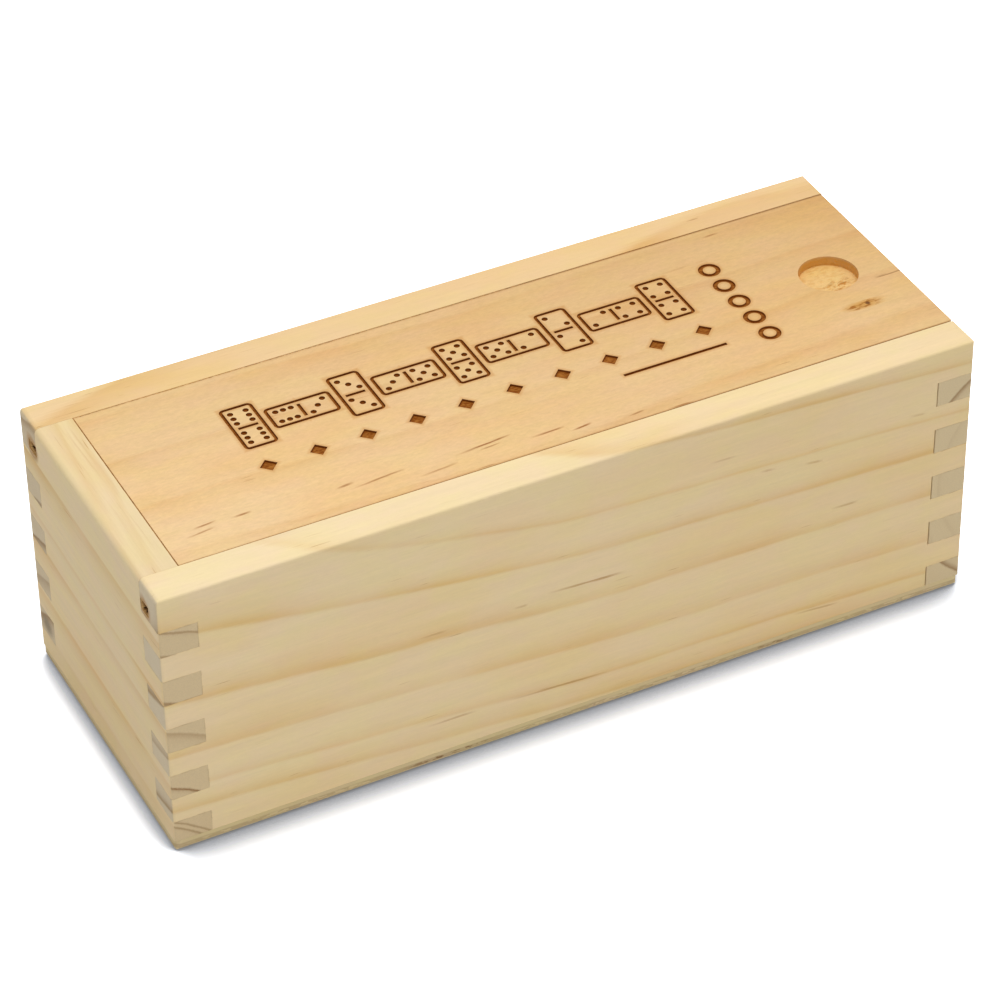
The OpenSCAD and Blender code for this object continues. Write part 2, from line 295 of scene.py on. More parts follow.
def soilJointsShadeSlot(put, wood, board):
    # a thin dark line of glue and torn fibres round each finger, where the boards meet at the corners
    soilAndShade, alongX = jointSoilSlotShade, board["grain"] == "x"
    height = put("Math", (wood["up"], soilAndShade["topFingerUp"]), "MINIMUM")[0]
    fromTop = put("Math", (height, box["topFingerMiddle"]), "SUBTRACT")[0]
    fromMiddle = put("Math", (fromTop, box["fingerPitch"] / 2), "PINGPONG")[0]
    signed = put("Math", (fromMiddle, box["fingerHalf"]), "SUBTRACT")[0]
    edge = put("Math", (signed,), "ABSOLUTE")[0]
    innerFaces = (box["innerHalfLength"], box["innerHalfWidth"])
    pastFaces = []
    for way, innerFace in zip(("along", "across"), innerFaces if alongX else innerFaces[::-1]):
        away = put("Math", (wood[way],), "ABSOLUTE")[0]
        pastFaces.append(put("Math", (away, innerFace), "SUBTRACT")[0])
    rootAway, acrossAway = [put("Math", (past,), "ABSOLUTE")[0] for past in pastFaces]
    # lines across the grain: only where the other board's finger comes through
    other = put("Math", (signed, -1.0 if alongX else 1.0), "MULTIPLY")[0]
    through = put("Math", (other, soilAndShade["through"]), "GREATER_THAN")[0]
    inZone = put("Math", (pastFaces[0], soilAndShade["inZone"]), "GREATER_THAN")[0]
    rootAway, edge, endEdge = [
        put("Mix", {0: mask, 2: soilAndShade["nowhere"], 3: away})[0]
        for mask, away in ((through, rootAway), (inZone, edge), (wood["endGrain"], acrossAway))]
    nearest = put("Math", (edge, rootAway), "MINIMUM")[0]
    nearest = put("Math", (nearest, endEdge), "MINIMUM")[0]
    broken = put("Math", (wood["speck"], -0.55, nearest), "MULTIPLY_ADD")[0]
    glue = put("MapRange", (broken, *soilAndShade["glueRange"]))[0]
    patchPlace = put("VectorMath", (wood["place"], (0.45, 0.45, 0.45)), "MULTIPLY")[0]
    patches = put("TexNoise", {"Vector": patchPlace, "Scale": 1.0, "Detail": 1.0})[0]
    patches = put("MapRange", (patches, *soilAndShade["patches"]))[0]
    glue = put("Math", (glue, patches), "MULTIPLY")[0]
    # torn, resin-brown wood where the groove's cutter came out of the end
    holePlace = put("CombineXYZ", (wood["across" if alongX else "along"], wood["up"]))[0]
    folded = put("VectorMath", (holePlace,), "ABSOLUTE")[0]
    mouth = (box["grooveAcross"], box["grooveMiddle"], 0.0)
    fromHole = put("VectorMath", (folded, mouth), "DISTANCE")[1]
    torn = put("Math", (wood["blotch"], -4.5, fromHole), "MULTIPLY_ADD")[0]
    torn = put("MapRange", (torn, *soilAndShade["tornRange"]))[0]
    atClosedEnd = put("Math", (wood["x"], soilAndShade["tornTo"]), "LESS_THAN")[0]
    torn = put("Math", (torn, atClosedEnd), "MULTIPLY")[0]
    # painted shade: inside the groove, for about 6 mm from the closed end's mouths, the walls are darkened
    # brown
    paintedSlotShade = put("MapRange", (fromHole, *soilAndShade["slotShadeRange"]))[0]
    for test, limit in (("GREATER_THAN", soilAndShade["slotFrom"]), ("LESS_THAN", soilAndShade["slotTo"])):
        inReach = put("Math", (wood["x"], limit), test)[0]
        paintedSlotShade = put("Math", (paintedSlotShade, inReach), "MULTIPLY")[0]
    stainWood(put, wood, ((glue, soilAndShade["glue"]), (torn, soilAndShade["torn"]), (paintedSlotShade, soilAndShade["slot"])))
    if "stain" in board:
        stainPlace = put("VectorMath", (wood["place"], board["stain"]["place"]), "SUBTRACT")[0]
        stainPlace = put("VectorMath", (stainPlace, board["stain"]["stretch"]), "MULTIPLY")[0]
        stainAway = put("VectorMath", (stainPlace,), "LENGTH")[1]
        stainAway = put("Math", (wood["speck"], 1.0, stainAway), "MULTIPLY_ADD")[0]
        stained = put("MapRange", (stainAway, *soilAndShade["stainRange"]), interpolation_type="SMOOTHSTEP")[0]
        stained = put("Math", (stained, wood["endGrain"]), "MULTIPLY")[0]
        stainWood(put, wood, ((stained, soilAndShade["stain"]),))


def finishWood(put, wood, bumpMm):
    bump = put("Bump", {"Strength": 1.0, "Distance": bumpMm * mm, "Height": wood["height"]})[0]
    shader = put("BsdfPrincipled", {
        "Base Color": wood["colour"], "Roughness": wood["roughness"], "IOR": 1.5,
        "Specular IOR Level": wood.get("specular", 0.3), "Normal": bump})[0]
    put("OutputMaterial", (shader,))


# sanded, unvarnished pine: matt, pale straw colour with soft amber bands that end sharply, a little
# silk along the grain. Rings: (where it starts to darken, its edge, how dark), in mm from the pith.
frontBoard = {
    "name": "sandedPineFrontBoard", "node": "front_wall", "grain": "x", "seed": 2.3, "pith": (-10.0, 116.4),
    "driftMm": [(-80, -8.0), (-60, -6.3), (-40, -4.3), (-20, -2.3), (0, 0.0), (20, 1.0), (50, 2.2),
        (80, 3.6)],
    "driftShare": [(0, 0.75), (16, 0.75), (26, 0.7), (36, 1.0), (46, 1.3), (56.4, 2.1)],
    "wobbleMm": 1.3, "raggedMm": 0.35,
    "depths": [(-4.5, -0.9, 1.0), (9.3, 11.3, 0.7), (15.8, 19.6, 1.0), (25.6, 30.4, 1.0), (34.5, 40.6, 0.72),
        (45.6, 48.4, 0.8), (49.3, 53.4, 0.95)],
    "pale": "#FBE4B6", "dark": "#F0CE92", "thread": "#B98648", "endPale": "#DDCBAA", "endDark": "#A68455",
    "paintedFalloffAlong": [(-80, 0.0), (80, 1.0)], "aged": (0.96, 0.93, 0.87, 1.0),
    "streaks": [
        {"on": "up", "widthMm": 0.36, "dashes": [
            (-32, 29.9, -26.5, 29.8, 0.35), (-13.5, 29.7, -10.5, 29.6, 0.35), (-7, 30.6, 9, 29.8, 0.7),
            (25.5, 47.9, 31, 47.7, 0.3), (36, 42.3, 39, 42.0, 0.35), (45, 40.8, 49, 40.4, 0.4),
            (51, 28.5, 57, 28.2, 0.4), (67, 43.7, 70.5, 43.5, 0.3)]},
        {"on": "up", "widthMm": 0.32, "dashes": [
            (-31, 9.3, -21, 9.1, 0.45), (-15, 9.0, 5.5, 7.9, 0.65), (5.8, 28.4, 10.5, 28.4, 0.25),
            (44, 6.4, 54, 5.7, 0.5)]},
    ],
}
# its rings are given where they cross the face, in mm below its top: 60 below the pith and 20.7 beside it
frontBoard["rings"] = [
    (math.hypot(60 + start, 20.7), math.hypot(60 + edge, 20.7), dark)
    for start, edge, dark in frontBoard["depths"]]

rearBoard = {
    "name": "sandedPineRearBoard", "node": "rear_wall", "grain": "x", "seed": 8.9, "pith": (2.0, -41.0),
    "driftMm": [(-80, 3.5), (-40, 1.2), (0, 0.0), (35, -2.4), (80, -3.1)],
    "driftShare": [(0, 0.7), (30, 1.0), (56.4, 1.3)],
    "wobbleMm": 1.6, "raggedMm": 0.35, "stain": {"place": (-80.0, 27.0, 9.4), "stretch": (0.3, 0.6, 0.75)},
    "rings": [(47, 52.5, 0.8), (56, 61.3, 1.0), (64, 69.5, 0.7), (73, 78.2, 1.0), (82.5, 87.6, 0.85),
        (92, 96.8, 1.0), (100, 104.5, 0.8)],
    "pale": "#F5D7A3", "dark": "#E8C082", "thread": "#B07C42", "endPale": "#D8C4A0", "endDark": "#9C7848",
    "paintedFalloffAlong": [(-80, 0.0), (0, 0.8), (80, 1.0)], "aged": (0.97, 0.91, 0.84, 1.0),
}

closedEndBoard = {
    "name": "sandedPineClosedEndBoard", "node": "closed_end_wall", "grain": "y", "seed": 5.1,
    "pith": (-102.0, -32.0), "driftMm": [(-30.7, 0.5), (0, 0.0), (30.7, -0.8)],
    "driftShare": [(0, 1.0), (56.4, 1.0)], "wobbleMm": 0.8, "raggedMm": 0.3,
    "rings": [(39.5, 44.7, 0.3), (48.5, 53.0, 0.6), (60.0, 64.2, 0.7), (68.3, 70.3, 0.8), (76.0, 83.0, 1.0),
        (90.9, 91.7, 0.7), (92.0, 92.5, 0.9)],
    "endRings": [(43.4, 44.5, 0.85), (44.8, 45.5, 0.9), (51.0, 52.6, 1.0), (60.8, 64.1, 0.62),
        (67.6, 70.5, 0.9), (77.2, 80.4, 0.7), (83.9, 85.2, 0.85)],
    "pale": "#F2DAAB", "dark": "#E3BE80", "thread": "#C0904F", "endPale": "#E3CBA0", "endDark": "#9A7040",
    "streaks": [
        {"on": "across", "widthMm": 0.30, "dashes": [
            (-20, -74.4, -6, -74.6, 0.12), (3, -74.9, 21, -75.3, 0.2)]},
        {"on": "across", "widthMm": 0.26, "dashes": [
            (-15, -76.6, 0, -76.4, 0.1), (8, -74.1, 22, -74.4, 0.2)]},
    ],
}

openEndBoard = {
    "name": "sandedPineOpenEndBoard", "node": "open_end_wall", "grain": "y", "seed": 11.7,
    "pith": (96.0, 26.0), "driftMm": [(-30.7, 0.3), (0, 0.0), (30.7, 0.6)],
    "driftShare": [(0, 1.0), (56.4, 1.0)], "wobbleMm": 0.9, "raggedMm": 0.3,
    "rings": [(14.0, 17.4, 0.6), (19.5, 22.4, 0.7), (24.6, 27.6, 1.0), (29.5, 32.6, 0.6), (34.4, 37.5, 0.8)],
    "endRings": [(19.6, 22.2, 0.25), (24.9, 27.7, 0.9), (35.8, 37.2, 0.4)],
    "pale": "#F4DEB2", "dark": "#E6C68D", "thread": "#B07C42", "endPale": "#E2CCA2", "endDark": "#9C764C",
}


def easeArrises(node, widthMm, clamped=False):
    # the CAD solid's loose triangles are joined, flat faces made whole, and each arris eased with sandpaper
    weld = node.modifiers.new("weld", "WELD")
    weld.merge_threshold = 0.002 * mm
    flat = node.modifiers.new("flat", "DECIMATE")
    flat.decimate_type, flat.angle_limit = "DISSOLVE", math.radians(0.5)
    ease = node.modifiers.new("ease", "BEVEL")
    ease.width, ease.segments, ease.limit_method = widthMm * mm, 2, "ANGLE"
    ease.angle_limit, ease.use_clamp_overlap = math.radians(35), clamped
    ease.miter_outer = "MITER_SHARP"
    normals = node.modifiers.new("normals", "WEIGHTED_NORMAL")
    normals.keep_sharp, normals.weight = True, 80


def dress(node, material):
    for slot in node.material_slots:
        slot.material = material


for board in (frontBoard, rearBoard, closedEndBoard, openEndBoard):
    material, put = newMaterial(board["name"])
    wood = growWood(put, board)
    soilJointsShadeSlot(put, wood, board)
    finishWood(put, wood, bumpMm=0.06)
    dress(nodes[board["node"]], material)
    easeArrises(nodes[board["node"]], widthMm=0.05)
print("walls: four boards of sanded pine")


# three-ply panel of rotary-cut pine veneer: greyer and flatter than the boards, its edge sanded smooth
bottomPly = {
    "name": "pinePlywoodPanel", "grain": "x", "seed": 21.4, "pith": (14.0, -160.0),
    "driftMm": [(-80, 0.2), (0, 0.0), (80, -0.2)], "driftShare": [(0, 1.0), (2.5, 1.0)],
    "wobbleMm": 3.0, "raggedMm": 0.3,
    "rings": [(160.3, 161.2, 0.6), (161.6, 162.4, 0.8), (162.9, 163.6, 0.5), (164.0, 164.8, 0.7)],
    "pale": "#E2CE9E", "dark": "#D2B980", "thread": "#A67A48", "endPale": "#DCC898", "endDark": "#CDB282",
}
plyEdge = {
    "coreUp": 1.3, "coreRange": (0.55, 0.3, 0.0, 0.34), "gapRange": (0.4, 0.15), "gapNoise": (0.5, 0.58),
    "dark": "#94714A",
    "gapsAlong": [(-80, 0.0), (-36, 0.0), (-32, 0.6), (-21, 0.6), (-17, 0.0), (34, 0.0), (37, 0.4), (43, 0.4),
        (46, 0.0), (80, 0.0)],
}
material, put = newMaterial(bottomPly["name"])
wood = growWood(put, bottomPly)
# the middle veneer runs across: a slightly darker line along the edge, open only in a few places
fromCore = put("Math", (wood["up"], plyEdge["coreUp"]), "SUBTRACT")[0]
fromCore = put("Math", (fromCore,), "ABSOLUTE")[0]
core = put("MapRange", (fromCore, *plyEdge["coreRange"]))[0]
gapPlace = put("VectorMath", (wood["place"], (0.7, 0.7, 2.4)), "MULTIPLY")[0]
gapNoise = put("TexNoise", {"Vector": gapPlace, "Scale": 1.0, "Detail": 1.0})[0]
gapZone = put("FloatCurve", {"Value": wood["x"]}, points=plyEdge["gapsAlong"])[0]
gaps = put("MapRange", (gapNoise, *plyEdge["gapNoise"]))[0]
gapLine = put("MapRange", (fromCore, *plyEdge["gapRange"]))[0]
for mask in (gapZone, gapLine):
    gaps = put("Math", (gaps, mask), "MULTIPLY")[0]
core = put("Math", (core, gaps), "ADD", use_clamp=True)[0]
sideFacing = put("SeparateXYZ", (put("TexCoord")["Normal"],))[2]
sideFacing = put("Math", (sideFacing,), "ABSOLUTE")[0]
sideFacing = put("MapRange", (sideFacing, 0.7, 0.3))[0]
core = put("Math", (core, sideFacing), "MULTIPLY")[0]
stainWood(put, wood, ((core, plyEdge["dark"]),))
finishWood(put, wood, bumpMm=0.05)
dress(nodes["bottom_panel"], material)
easeArrises(nodes["bottom_panel"], widthMm=0.05)
print("bottom: plywood")


# sanded pine, warmer and more even than the walls, with a laser engraving
lidBoard = {
    "name": "sandedPineLid", "grain": "x", "seed": 16.2, "pith": (-62.0, 171.0),
    "driftMm": [(-80, 1.0), (-40, 0.4), (0, 0.0), (40, 1.2), (80, 1.6)],
    "driftShare": [(50, 1.0), (56.4, 1.0)], "wobbleMm": 2.2, "raggedMm": 0.5,
    "rings": [(118.0, 121.5, 0.45), (124.5, 127.0, 0.35), (130.5, 134.0, 0.5), (138.0, 141.5, 0.35)],
    "pale": "#F2CE99", "dark": "#E3B478", "thread": "#A8692F", "endPale": "#D9B482", "endDark": "#AC7B48",
    # the painted shade's tint and its slope towards the rear, then its curve along the lid
    "mottle": 0.055, "warmth": (1.0, 0.95, 0.86, 1.0), "aged": (0.89, 0.84, 0.755, 1.0), "agedAcross": 0.018,
    "paintedFalloffAlong": [(-80, 0.05), (-20, 0.4), (30, 0.9), (62, 1.0), (80, 1.2)],
    "streaks": [
        {"on": "across", "widthMm": 0.34, "dashes": [
            (-66.8, -15.5, -62.0, -15.0, 0.8), (-59.3, -15.6, -55.7, -15.5, 0.8),
            (-40.4, -16.6, -36.8, -16.3, 0.75), (-26.2, -20.3, -18.0, -19.6, 0.55),
            (-18.0, -17.7, -6.2, -16.6, 0.95), (-4.0, -19.2, 3.0, -19.0, 0.9),
            (3.2, -20.75, 7.7, -20.2, 1.0), (14.0, -21.6, 17.7, -21.2, 0.75),
            (21.5, -22.9, 26.5, -23.1, 0.8), (52.5, 21.0, 56, 21.2, 0.7)]},
        {"on": "across", "widthMm": 0.32, "dashes": [
            (-68.7, -17.3, -62.9, -16.5, 0.65), (-38.0, -17.9, -27.0, -17.0, 0.75),
            (-13.7, -18.3, -9.0, -17.9, 0.65), (40, 14, 46, 14.3, 0.2)]},
    ],
}
engraving = {  # the engraved figures' places, in mm, as the CAD has them, for the scorch round them
    "rowY": 7.0, "firstDouble": -46.2, "doublePitch": 20.8, "tileHalf": 3.2, "lineHalf": 0.325,
    "rowEnd": 40.2, "lozengeY": -5.0, "firstLozenge": -47.7, "lozengePitch": 9.578, "lozengeHalf": 1.7,
    "ringX": 48.7, "ringPitch": 5.6, "ringRadius": 1.65, "ringHalfLine": 0.45,
    "ruleMiddle": (29.7, -10.5), "ruleHalf": (10.5, 0.35),
    "burnt": "#84450F", "burntPale": "#B0702E", "scorch": "#CC8F48", "scorchMm": 0.75, "scorchMost": 0.5,
    "fieldHalf": (56.0, 20.0), "lipMm": (0.03, 0.1), "deepestMm": 0.6,
    "charPerMm": (1.1, 2.6, 2.6), "charRange": (0.38, 0.66), "roughness": 0.85, "specular": (0.25, 0.08),
}


def boxDistance(put, x, y, halfX, halfY):  # distance outside a rectangle about 0; x and y are never negative
    dx = put("Math", (x, halfX), "SUBTRACT")[0]
    dy = put("Math", (y, halfY), "SUBTRACT")[0]
    return put("Math", (dx, dy), "MAXIMUM")[0]


def burnLid(put, wood, figures):
    # the laser's burn: floors and walls below the lid's face are dark brown, mottled and paler in the
    # middle of wide lines, and the face is scorched for a fraction of a millimetre round each figure
    x, y, up = wood["x"], wood["y"], wood["up"]
    fromMiddle, fromNearest = {}, {}
    ruleX, ruleY = figures["ruleMiddle"]
    for name, way, middle in (
            ("row", y, figures["rowY"]), ("lozenge", y, figures["lozengeY"]),
            ("ruleX", x, ruleX), ("ruleY", y, ruleY)):
        away = put("Math", (way, middle), "SUBTRACT")[0]
        fromMiddle[name] = put("Math", (away,), "ABSOLUTE")[0]
    for name, first, pitch in (
            ("double", "firstDouble", "doublePitch"), ("lozenge", "firstLozenge", "lozengePitch")):
        away = put("Math", (x, figures[first]), "SUBTRACT")[0]
        fromNearest[name] = put("Math", (away, figures[pitch] / 2), "PINGPONG")[0]
    yRow, fromDouble = fromMiddle["row"], fromNearest["double"]
    fromLying = put("Math", (figures["doublePitch"] / 2, fromDouble), "SUBTRACT")[0]
    half, line = figures["tileHalf"], figures["lineHalf"]
    tiles = []
    for placeX, sizeX, sizeY, middle in (
            (fromDouble, half, 2 * half, yRow), (fromLying, 2 * half, half, fromLying)):
        outside = boxDistance(put, placeX, yRow, sizeX, sizeY)
        rim = put("Math", (outside, line), "ADD")[0]
        rim = put("Math", (rim,), "ABSOLUTE")[0]
        inside = put("Math", (outside, 0.0), "MAXIMUM")[0]
        bar = put("Math", (middle, inside), "ADD")[0]
        nearest = put("Math", (rim, bar), "MINIMUM")[0]
        tiles.append(put("Math", (nearest, line), "SUBTRACT")[0])
    row = put("Math", (tiles[0], tiles[1]), "MINIMUM")[0]
    lozenge = put("Math", (fromNearest["lozenge"], fromMiddle["lozenge"]), "ADD")[0]
    lozenge = put("Math", (lozenge, figures["lozengeHalf"]), "SUBTRACT")[0]
    lozenge = put("Math", (lozenge, 0.707), "MULTIPLY")[0]  # squarely to a slanting side
    pastRow = put("Math", (x, figures["rowEnd"]), "SUBTRACT")[0]
    beforeRow = put("Math", (figures["firstDouble"] - half, x), "SUBTRACT")[0]
    for end in (pastRow, beforeRow):
        row, lozenge = [put("Math", (shape, end), "MAXIMUM")[0] for shape in (row, lozenge)]
    yRing = put("Math", (y, figures["ringPitch"] / 2), "PINGPONG")[0]
    xRing = put("Math", (x, figures["ringX"]), "SUBTRACT")[0]
    ring = put("CombineXYZ", (xRing, yRing))[0]
    ring = put("VectorMath", (ring,), "LENGTH")[1]
    ring = put("Math", (ring, figures["ringRadius"]), "SUBTRACT")[0]
    absX, absY, ring = [put("Math", (value,), "ABSOLUTE")[0] for value in (x, y, ring)]
    ring = put("Math", (ring, figures["ringHalfLine"]), "SUBTRACT")[0]
    ringsEnd = put("Math", (absY, 2.5 * figures["ringPitch"]), "SUBTRACT")[0]
    ring = put("Math", (ring, ringsEnd), "MAXIMUM")[0]
    rule = boxDistance(put, fromMiddle["ruleX"], fromMiddle["ruleY"], *figures["ruleHalf"])
    nearest = row
    for figure in (lozenge, ring, rule):
        nearest = put("Math", (nearest, figure), "MINIMUM")[0]
    uneven = put("Math", (wood["speck"], -0.5, nearest), "MULTIPLY_ADD")[0]
    scorchEnds = (figures["scorchMm"] - 0.25, -0.25, 0.0, figures["scorchMost"])
    scorch = put("MapRange", (uneven, *scorchEnds), interpolation_type="SMOOTHSTEP")[0]
    stainWood(put, wood, ((scorch, figures["scorch"]),))

    lip = [box["lidTop"] - below for below in figures["lipMm"]]
    burn = put("MapRange", (up, *lip))[0]
    for value, test, limit in (
            (up, "GREATER_THAN", box["lidTop"] - figures["deepestMm"]),
            (absX, "LESS_THAN", figures["fieldHalf"][0]), (absY, "LESS_THAN", figures["fieldHalf"][1])):
        mask = put("Math", (value, limit), test)[0]
        burn = put("Math", (burn, mask), "MULTIPLY")[0]
    charPlace = put("VectorMath", (wood["place"], figures["charPerMm"]), "MULTIPLY")[0]
    charNoise = put("TexNoise", {"Vector": charPlace, "Scale": 1.0, "Detail": 3.0, "Roughness": 0.65})[0]
    onFloor = put("MapRange", (nearest, -0.02, -0.3))[0]
    char = put("MapRange", (charNoise, *figures["charRange"]))[0]
    char = put("Math", (char, onFloor), "MULTIPLY")[0]
    burntColours = {6: figures["burnt"], 7: figures["burntPale"]}
    charColour = put("Mix", {0: char, **burntColours}, data_type="RGBA")[2]
    wood["colour"] = put("Mix", {0: burn, 6: wood["colour"], 7: charColour}, data_type="RGBA")[2]
    wood["roughness"] = put("Mix", {0: burn, 2: wood["roughness"], 3: figures["roughness"]})[0]
    bare, burnt = figures["specular"]
    wood["specular"] = put("Mix", {0: burn, 2: bare, 3: burnt})[0]
    charHeight = put("Math", (charNoise, burn), "MULTIPLY")[0]
    wood["height"] = put("Math", (charHeight, 1.5, wood["height"]), "MULTIPLY_ADD")[0]


knot = {
    "place": (68.3, -11.5, 56.3), "stretch": (0.25, 0.82, 0.3), "heart": (69.1, -11.4, 56.3), "heartMm": 0.40,
    "halo": "#CC9030", "haloRange": (0.85, 0.0, 0.0, 0.75), "strokePerMm": (0.65, 1.9, 1.0),
    "stroke": "#A4610A", "strokeRange": (0.6, 0.2, 0.0, 0.9), "heartColour": "#693A05", "heartMost": 0.9,
}
dryingCheck = {"y": -5.15, "from": 74.2, "fadeMm": 1.2, "halfMm": 0.26, "colour": "#9A6A36"}
lidEdge = {
    "halfWidth": 23.25, "left": -72.55, "right": 79.9, "railHalf": 23.47, "leftWall": -72.77, "face": 56.3,
    "rearDepths": [(-72.55, 0.04), (10.0, 0.07), (40.0, 0.22), (80.0, 0.30)],
    "frontDepths": [(-72.55, 0.11), (0.0, 0.14), (80.0, 0.20)], "endDepth": 0.13,
    "ruffleMm": 0.04, "seed": 7,
    # where the painted seam shade grows along and across the lid, how wide it is and its colour
    "brownTowardsEnd": (-70.0, 60.0, 0.12, 0.8), "brownTowardsFront": (10.0, -10.0, 0.55, 1.0),
    "brownMm": 0.40, "brown": "#A9743C", "fuzz": "#C2945A", "fuzzDark": "#96662F",
}
recessWall = {"colour": "#DDA03E", "least": 0.4, "most": 0.95}


def paintSeamShade(put, wood):
    # painted shade: a brown band on the lid's face along its side edges, beside the gap to the boards,
    # stronger towards the open end and the front
    fromSide = put("Math", (wood["y"],), "ABSOLUTE")[0]
    fromSide = put("Math", (lidEdge["halfWidth"], fromSide), "SUBTRACT")[0]
    fromSide = put("Math", (wood["fibre"], 0.25, fromSide), "MULTIPLY_ADD")[0]
    nearSide = put("MapRange", (fromSide, lidEdge["brownMm"] + 0.12, 0.12))[0]
    for way, ends in (("x", "brownTowardsEnd"), ("y", "brownTowardsFront")):
        towards = put("MapRange", (wood[way], *lidEdge[ends]))[0]
        nearSide = put("Math", (nearSide, towards), "MULTIPLY")[0]
    stainWood(put, wood, ((nearSide, lidEdge["brown"]),))


def knotAndCheck(put, wood):
    # a small knot beside the recess: a warm halo, short brown strokes along the grain and a dark heart
    knotPlace = put("VectorMath", (wood["place"], knot["place"]), "SUBTRACT")[0]
    knotFlat = put("VectorMath", (knotPlace, knot["stretch"]), "MULTIPLY")[0]
    knotFar = put("VectorMath", (knotFlat,), "LENGTH")[1]
    knotFar = put("Math", (wood["fibre"], -0.9, knotFar), "MULTIPLY_ADD")[0]
    halo = put("MapRange", (knotFar, *knot["haloRange"]))[0]
    strokePlace = put("VectorMath", (wood["place"], knot["strokePerMm"]), "MULTIPLY")[0]
    strokes = put("TexNoise", {"Vector": strokePlace, "Scale": 1.0, "Detail": 3.0, "Roughness": 0.6})[0]
    strokes = put("MapRange", (strokes, 0.48, 0.6))[0]
    inKnot = put("MapRange", (knotFar, *knot["strokeRange"]))[0]
    strokes = put("Math", (strokes, inKnot), "MULTIPLY")[0]
    heart = put("VectorMath", (wood["place"], knot["heart"]), "DISTANCE")[1]
    heartEnds = (knot["heartMm"] + 0.2, knot["heartMm"] - 0.1, 0.0, knot["heartMost"])
    heart = put("MapRange", (heart, *heartEnds))[0]
    # a fine drying check that runs in from the open end
    wave = put("Math", (wood["fibre"], 0.7, wood["y"]), "MULTIPLY_ADD")[0]
    checkAway = put("Math", (wave, dryingCheck["y"] + 0.35), "SUBTRACT")[0]
    checkAway = put("Math", (checkAway,), "ABSOLUTE")[0]
    check = put("MapRange", (checkAway, dryingCheck["halfMm"], 0.06, 0.0, 0.8))[0]
    checkEnds = (dryingCheck["from"], dryingCheck["from"] + dryingCheck["fadeMm"])
    checkOn = put("MapRange", (wood["x"], *checkEnds))[0]
    check = put("Math", (check, checkOn), "MULTIPLY")[0]
    # the recess's wall, rubbed brown by the cutter
    fromRecess = put("CombineXYZ", (wood["x"], wood["y"]))[0]
    fromRecess = put("VectorMath", (fromRecess, (box["recessX"], 0.0, 0.0)), "DISTANCE")[1]
    onWall = put("Math", (fromRecess, box["recessRadius"] + 0.12), "LESS_THAN")[0]
    belowRim = put("MapRange", (wood["up"], box["lidTop"] - 0.05, box["lidTop"] - 0.5))[0]
    rubbed = put("MapRange", (wood["fibre"], 0.3, 0.7, recessWall["least"], recessWall["most"]))[0]
    for mask in (onWall, belowRim):
        rubbed = put("Math", (rubbed, mask), "MULTIPLY")[0]
    stainWood(put, wood, (
        (halo, knot["halo"]), (strokes, knot["stroke"]), (heart, knot["heartColour"]),
        (check, dryingCheck["colour"]), (rubbed, recessWall["colour"])))


material, put = newMaterial(lidBoard["name"])
wood = growWood(put, lidBoard)
paintSeamShade(put, wood)
burnLid(put, wood, engraving)
knotAndCheck(put, wood)
finishWood(put, wood, bumpMm=0.07)
dress(nodes["sliding_lid"], material)
easeArrises(nodes["sliding_lid"], widthMm=0.04, clamped=True)  # unclamped, it reaches past the open end
print("lid: sanded pine with burnt engraving")


def makeLidFuzz(settings):
    # a strip on a grid of path by width: the path follows the lid's face round its front, closed-end and
    # rear edges, the width fills the gap to the boards, and the height is a depth below the face plus ruffles
    random = np.random.default_rng(settings["seed"])
    left, right = settings["left"], settings["right"]
    corners = np.array([(right, -1.0), (left, -1.0), (left, 1.0), (right, 1.0)])
    counts = (900, 320, 900)
    edges = [k + np.linspace(0, 1, n, endpoint=False) for k, n in enumerate(counts)]
    t = np.concatenate(edges + [[3.0]])[:, None]
    w = np.linspace(0, 1, 4)[None, :]
    x = np.interp(t, range(4), corners[:, 0])
    side = np.interp(t, range(4), corners[:, 1])
    # on the path the point is at the lid's own edge for w = 0 and just before the boards for w = 1
    edgeY, wallY = settings["halfWidth"] - 0.02, settings["railHalf"]
    edgeX, wallX = left + 0.02, settings["leftWall"]
    y = side * (edgeY + (wallY - edgeY) * w)
    atEnd = (right - x) / (right - left) > 0.9995
    x = x + 0 * w + np.where(atEnd, edgeX - left + (wallX - edgeX) * w, 0.0)
    front = np.interp(x, *zip(*settings["frontDepths"]))
    rear = np.interp(x, *zip(*settings["rearDepths"]))
    depth = np.where(atEnd, settings["endDepth"], np.where(side < 0, front, rear))
    ruffle = random.uniform(-1, 1, (len(t), 4)) * settings["ruffleMm"]
    ruffle = (ruffle + np.roll(ruffle, 1, 0) + np.roll(ruffle, 2, 0)) / 2
    z = settings["face"] - np.maximum(depth + ruffle + 0.03 * w, 0.015)
    points = np.stack([x, y, z], -1).reshape(-1, 3) * mm
    i, j = np.meshgrid(np.arange(len(t) - 1), np.arange(3), indexing="ij")
    here, ahead = i * 4 + j, (i + 1) * 4 + j
    faces = np.stack([here, ahead, ahead + 1, here + 1], -1).reshape(-1, 4)
    return meshPiece("lid_edge_fibres", points, faces.tolist())


